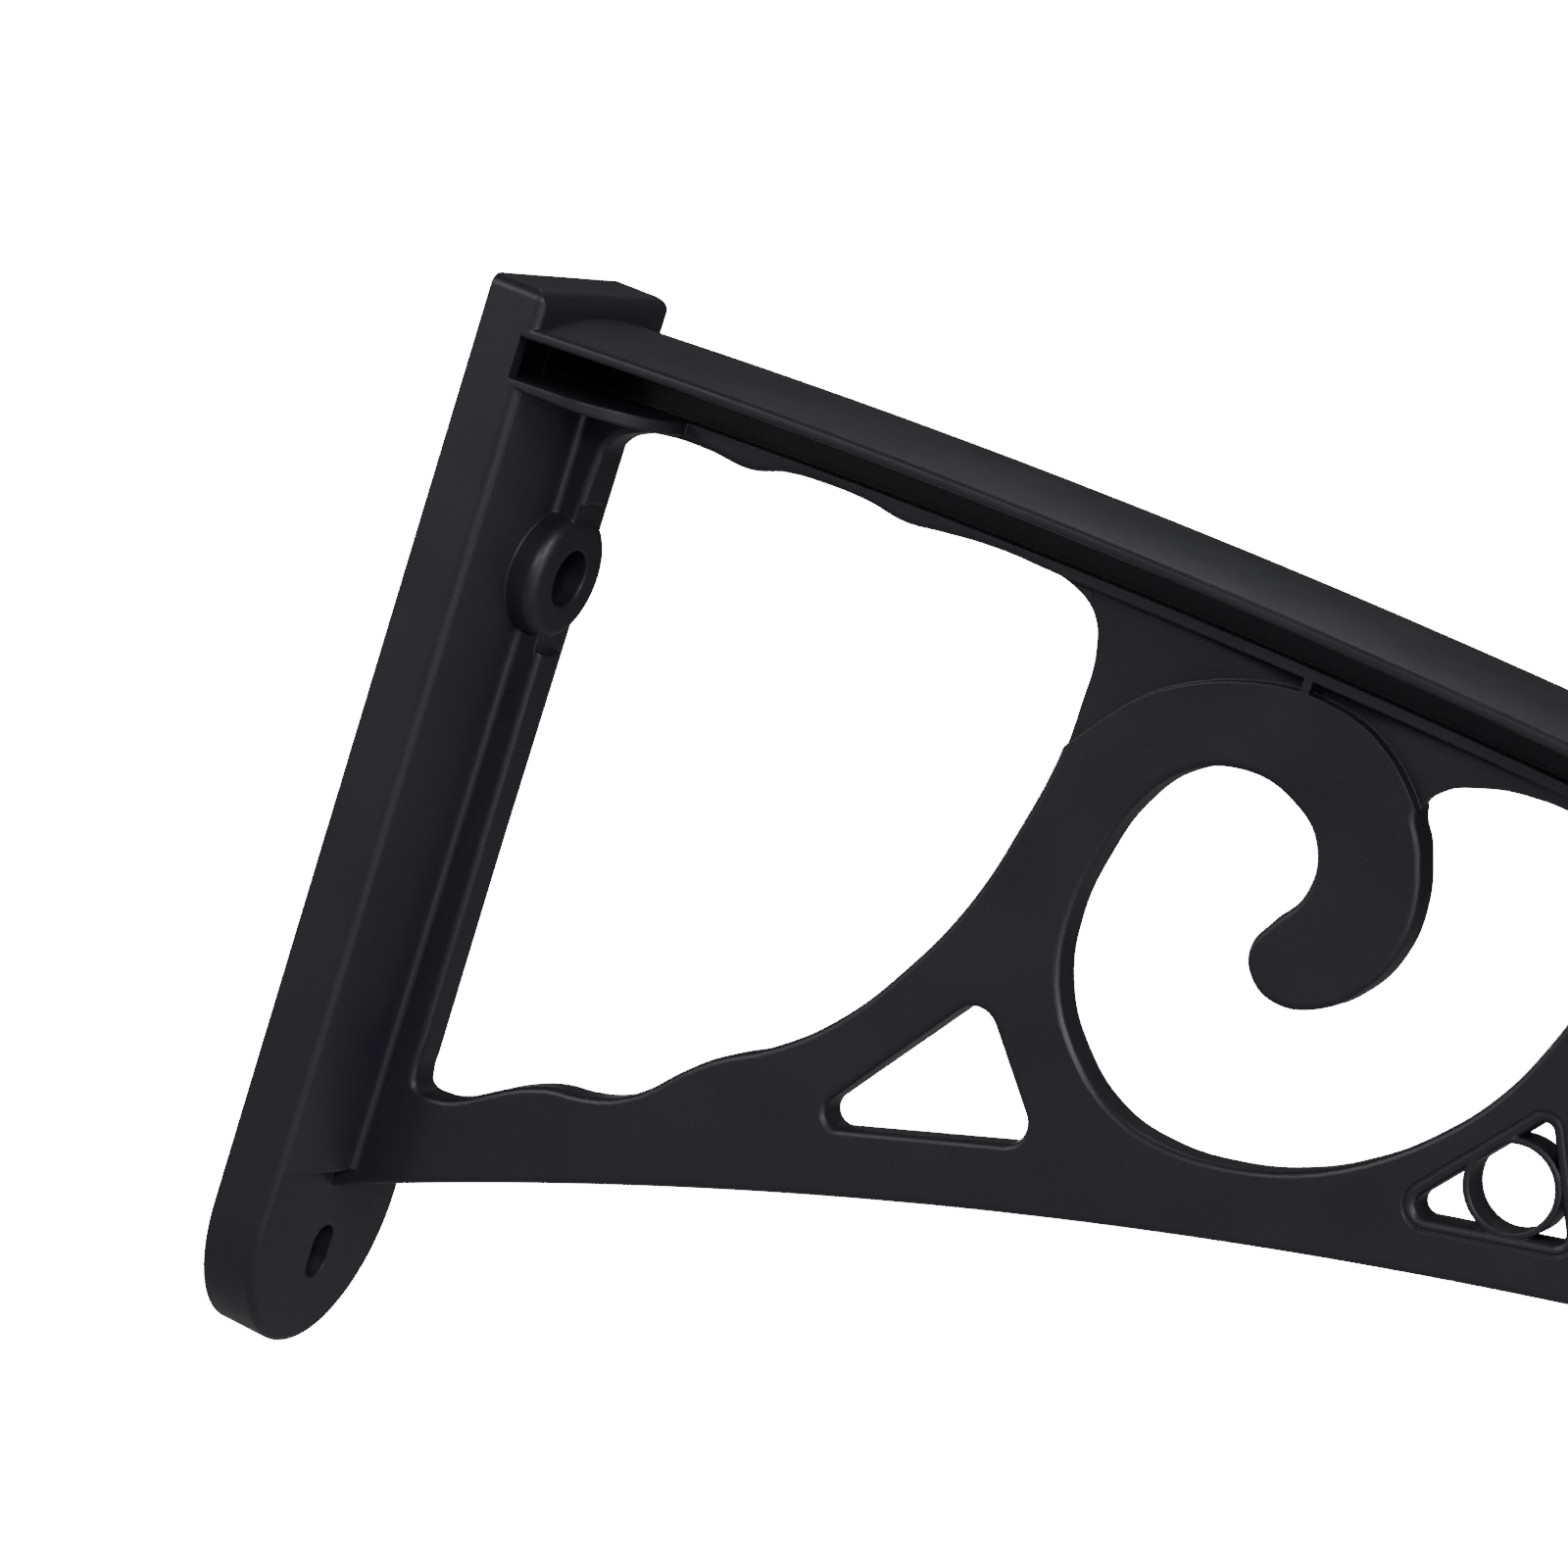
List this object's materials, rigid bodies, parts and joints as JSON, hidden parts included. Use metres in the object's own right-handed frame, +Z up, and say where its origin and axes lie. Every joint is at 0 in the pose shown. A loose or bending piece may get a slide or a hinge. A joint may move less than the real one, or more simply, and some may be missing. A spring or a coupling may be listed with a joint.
{
  "type": "awning bracket",
  "caption": "Black plastic door-canopy bracket: a rounded wall plate, a crowned arched beam with a slot for the sheet on each side, and a pierced web with a scroll.",
  "frame": {"origin": "middle of the wall plate's flat back face, on the wall", "axes": "+X out from the wall along the arm, +Z up, +Y to the side"},
  "size_m": [0.8, 0.065, 0.2904],
  "materials": {
    "black_plastic": "satin"
  },
  "bodies": {
    "root": {"bracket": "black_plastic"}
  },
  "joints": []
}
